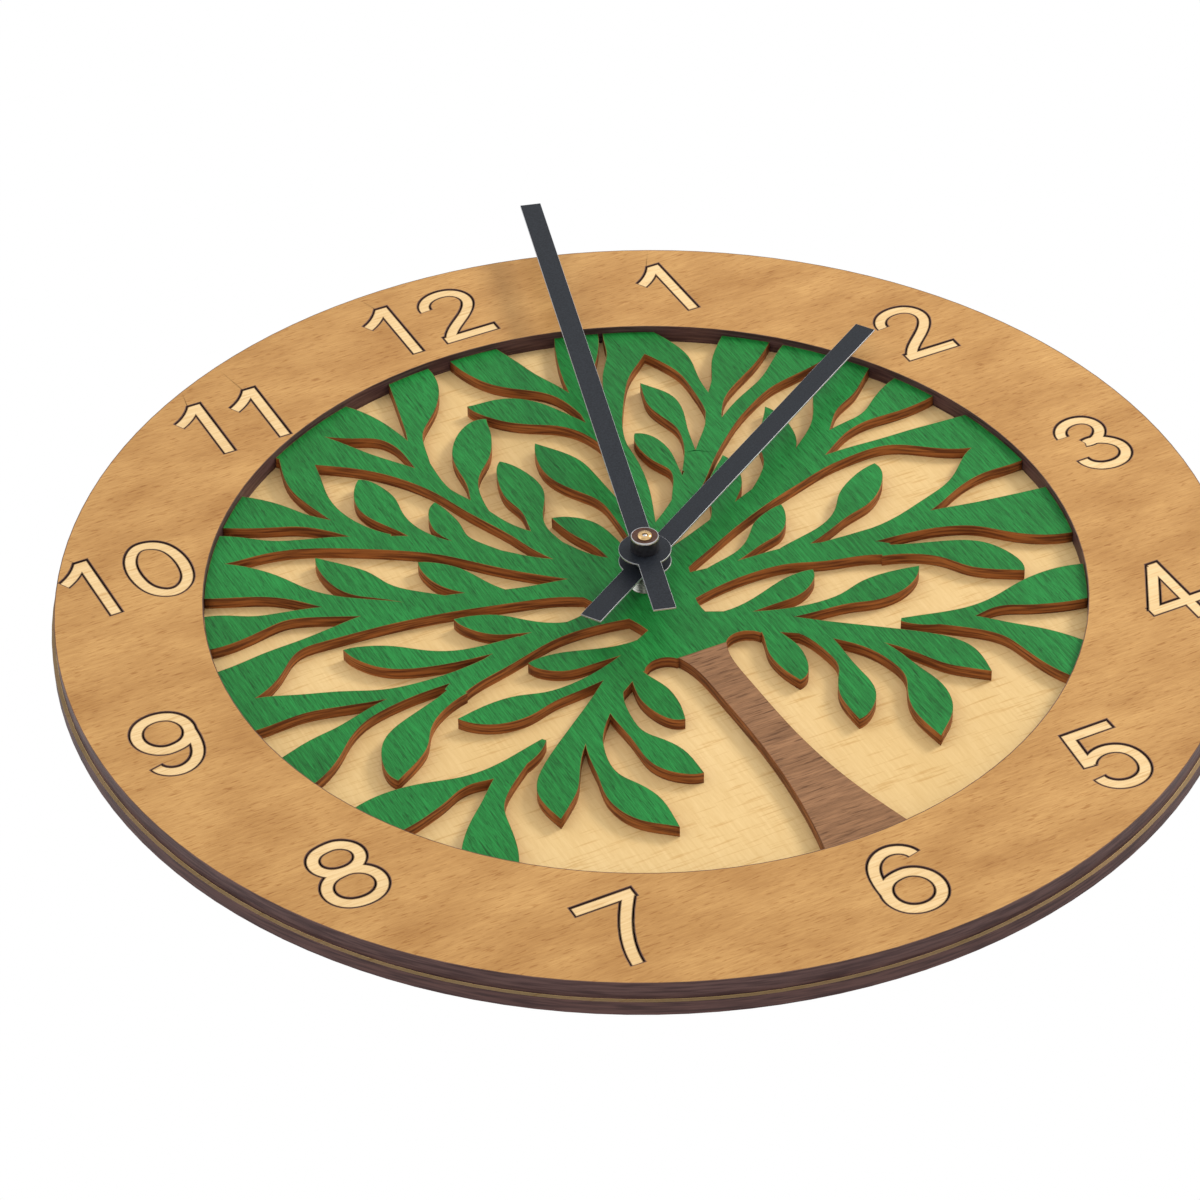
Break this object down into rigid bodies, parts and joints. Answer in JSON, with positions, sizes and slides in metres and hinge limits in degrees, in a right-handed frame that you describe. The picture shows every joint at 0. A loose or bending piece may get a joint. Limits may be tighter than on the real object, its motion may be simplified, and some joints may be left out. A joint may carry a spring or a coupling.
{
  "type": "wall clock",
  "caption": "Round wooden wall clock with a tree in relief, inlaid hour numerals, two bar hands and a battery movement with its gear train behind the dial.",
  "frame": {"origin": "on the dial's axis, in the plane of the wall, at the movement cover's rear face", "axes": "+X to 3 o'clock, +Z to 12 o'clock, the dial faces -Y, +Y into the wall"},
  "size_m": [0.302, 0.0404, 0.3081],
  "materials": {
    "ring_wood": "stain, fine grain",
    "board_wood": "bare, fine grain",
    "crown_wood": "green stain, scorched cut",
    "trunk_wood": "brown stain, scorched cut",
    "inlay_wood": "bare, fine grain",
    "pad_foam": "matt foam",
    "case_plastic": "moulded",
    "bush_metal": "nickel plated",
    "cell_sleeve": "printed sleeve",
    "contact_metal": "nickel plated",
    "wheel_plastic": "moulded",
    "arbor_metal": "turned",
    "knob_plastic": "moulded",
    "magnet_ferrite": "sintered",
    "pin_steel": "drawn",
    "stator_steel": "stamped",
    "coil_wire": "lacquered winding",
    "circuit_green": "solder mask",
    "crystal_can": "drawn can",
    "chip_epoxy": "cast blob",
    "hand_black": "satin black",
    "nut_black": "satin black, bare top"
  },
  "bodies": {
    "clock": {"back_board": "board_wood", "hour_ring": "ring_wood", "counter_pieces": "ring_wood", "tree_crown": "crown_wood", "tree_trunk": "trunk_wood", "sprig_left": "crown_wood", "sprig_right": "crown_wood", "adhesive_pad": "pad_foam", "movement_case": "case_plastic", "movement_cover": "case_plastic", "threaded_bush": "bush_metal", "battery": "cell_sleeve", "contact_negative": "contact_metal", "contact_positive": "contact_metal", "arbor_pins": "pin_steel", "stator_plate": "stator_steel", "coil_core": "stator_steel", "drive_coil": "coil_wire", "circuit_board": "circuit_green", "quartz_crystal": "crystal_can", "driver_chip": "chip_epoxy", "numeral_1": "inlay_wood", "numeral_2": "inlay_wood", "numeral_3": "inlay_wood", "numeral_4": "inlay_wood", "numeral_5": "inlay_wood", "numeral_6": "inlay_wood", "numeral_7": "inlay_wood", "numeral_8": "inlay_wood", "numeral_9": "inlay_wood", "numeral_10": "inlay_wood", "numeral_11": "inlay_wood", "numeral_12": "inlay_wood"},
    "minute": {"minute_arbor": "arbor_metal", "minute_hand": "hand_black", "hand_nut": "nut_black"},
    "hour": {"hour_wheel": "bush_metal", "hour_hand": "hand_black"},
    "motion": {"motion_wheel": "wheel_plastic"},
    "setting": {"setting_knob": "knob_plastic"},
    "second": {"second_wheel": "pin_steel"},
    "third": {"third_wheel": "wheel_plastic"},
    "centre": {"centre_wheel": "wheel_plastic"},
    "intermediate": {"intermediate_wheel": "wheel_plastic"},
    "rotor": {"rotor_pinion": "wheel_plastic", "rotor_magnet": "magnet_ferrite"}
  },
  "joints": [
    {"name": "minute_turn", "type": "hinge", "parent": "clock", "child": "minute", "pos_m": [0, -0.03, 0], "axis": [0, 1, 0], "continuous": true},
    {"name": "hour_turn", "type": "hinge", "parent": "clock", "child": "hour", "pos_m": [0, -0.03, 0], "axis": [0, 1, 0], "continuous": true},
    {"name": "motion_turn", "type": "hinge", "parent": "clock", "child": "motion", "pos_m": [-0.008, -0.013, 0], "axis": [0, 1, 0], "continuous": true},
    {"name": "setting_turn", "type": "hinge", "parent": "clock", "child": "setting", "pos_m": [-0.01033, -0.013, 0.00869], "axis": [0, 1, 0], "continuous": true},
    {"name": "rotor_turn", "type": "hinge", "parent": "clock", "child": "rotor", "pos_m": [-0.00452, -0.01, 0.01381], "axis": [0, 1, 0], "continuous": true},
    {"name": "intermediate_turn", "type": "hinge", "parent": "clock", "child": "intermediate", "pos_m": [-0.00152, -0.007, 0.00862], "axis": [0, 1, 0], "continuous": true},
    {"name": "second_turn", "type": "hinge", "parent": "clock", "child": "second", "pos_m": [0, -0.008, 0], "axis": [0, 1, 0], "continuous": true},
    {"name": "third_turn", "type": "hinge", "parent": "clock", "child": "third", "pos_m": [0.0108, -0.01, 0], "axis": [0, 1, 0], "continuous": true},
    {"name": "centre_turn", "type": "hinge", "parent": "clock", "child": "centre", "pos_m": [0, -0.0115, 0], "axis": [0, 1, 0], "continuous": true}
  ],
  "couplings": [
    {"joint": "hour_turn", "follows": "minute_turn", "ratio": 0.083333},
    {"joint": "motion_turn", "follows": "minute_turn", "ratio": -0.33333},
    {"joint": "setting_turn", "follows": "minute_turn", "ratio": 0.66667},
    {"joint": "intermediate_turn", "follows": "rotor_turn", "ratio": -0.2},
    {"joint": "second_turn", "follows": "rotor_turn", "ratio": 0.033333},
    {"joint": "third_turn", "follows": "rotor_turn", "ratio": -0.0044444},
    {"joint": "centre_turn", "follows": "rotor_turn", "ratio": 0.00055556}
  ]
}
